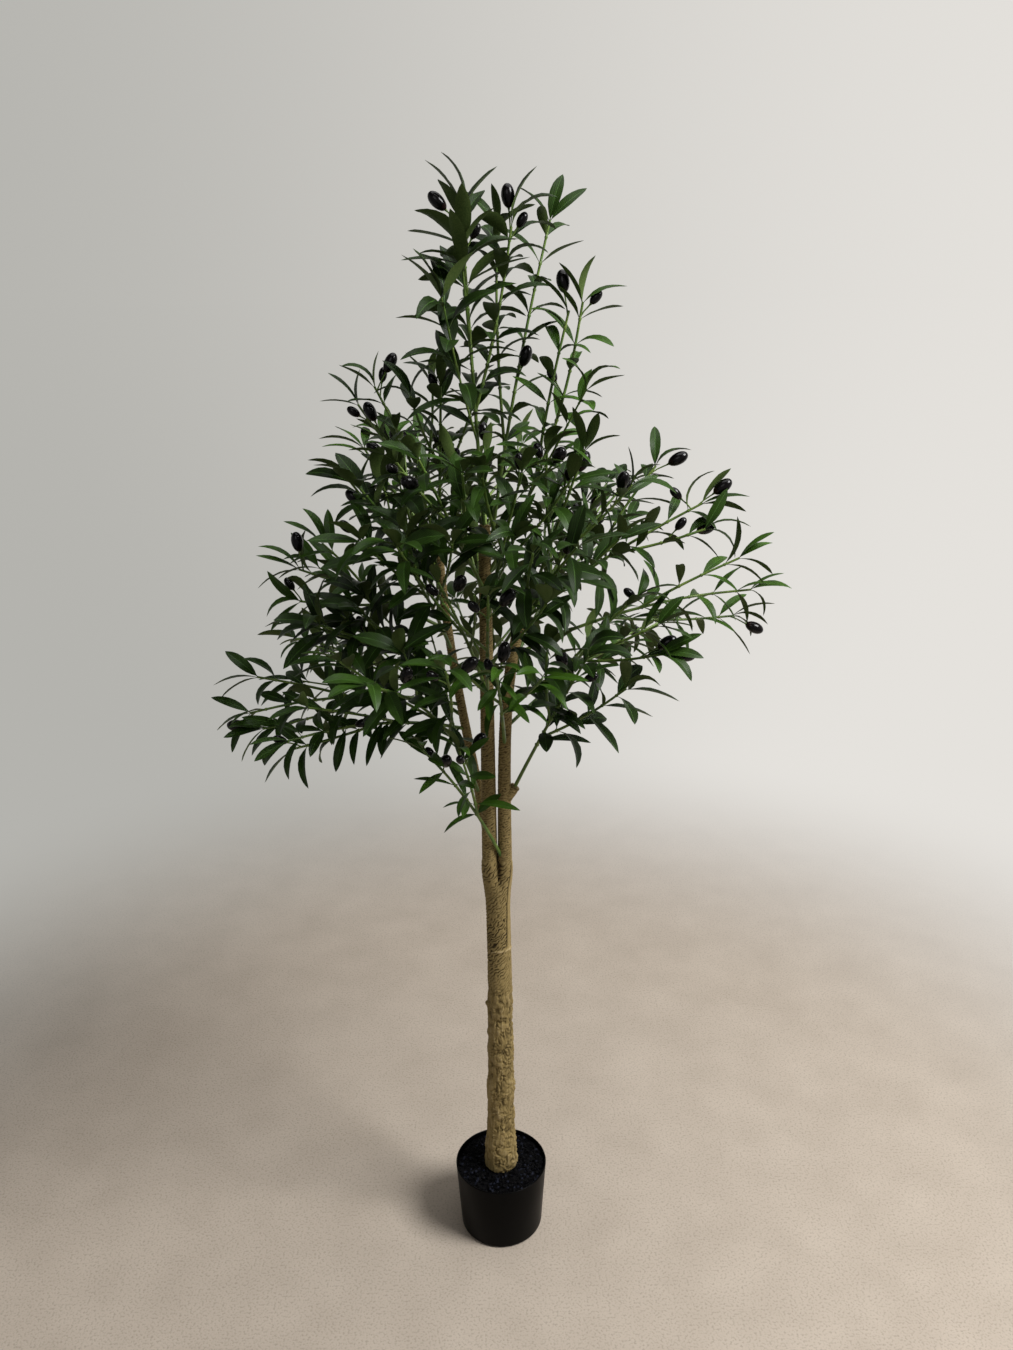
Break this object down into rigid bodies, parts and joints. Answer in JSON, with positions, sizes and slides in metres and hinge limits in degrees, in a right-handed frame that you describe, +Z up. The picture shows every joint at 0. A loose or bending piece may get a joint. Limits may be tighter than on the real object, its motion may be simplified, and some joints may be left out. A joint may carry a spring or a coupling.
{
  "type": "artificial olive tree in a pot",
  "caption": "Tall slim artificial olive tree: a bark-covered trunk that forks into upright stems, plug-in leafy sprays with dark olives, and a plain round black pot.",
  "frame": {"origin": "middle of the pot's flat underside", "axes": "+Z up along the trunk, -Y towards the tree's front, +X to the viewer's right"},
  "size_m": [0.8938, 0.6758, 1.7961],
  "materials": {
    "pot": "satin moulded black",
    "filler": "rough black crumb",
    "bark": "matt moulded bark relief",
    "foliage": "printed green leaf cloth"
  },
  "bodies": {
    "root": {"pot": "pot", "filler": "filler", "trunk": "bark", "centre_stem": "bark", "right_stem": "bark", "left_stem": "bark", "back_left_spray": "foliage", "back_low_left_spray": "foliage", "back_low_right_spray": "foliage", "back_low_spray": "foliage", "back_right_spray": "foliage", "back_right_upper_spray": "foliage", "back_spray": "foliage", "back_top_spray": "foliage", "fork_spray": "foliage", "front_centre_spray": "foliage", "front_low_spray": "foliage", "front_middle_spray": "foliage", "front_right_spray": "foliage", "front_spray": "foliage", "front_upper_spray": "foliage", "inner_left_spray": "foliage", "left_front_spray": "foliage", "left_front_upper_spray": "foliage", "left_inner_spray": "foliage", "left_long_spray": "foliage", "left_low_spray": "foliage", "left_spray": "foliage", "left_top_spray": "foliage", "left_upper_spray": "foliage", "right_front_top_spray": "foliage", "right_long_spray": "foliage", "right_low_spray": "foliage", "right_spray": "foliage", "right_upper_spray": "foliage", "stub_spray": "foliage", "top_left_spray": "foliage", "top_right_spray": "foliage"}
  },
  "joints": []
}
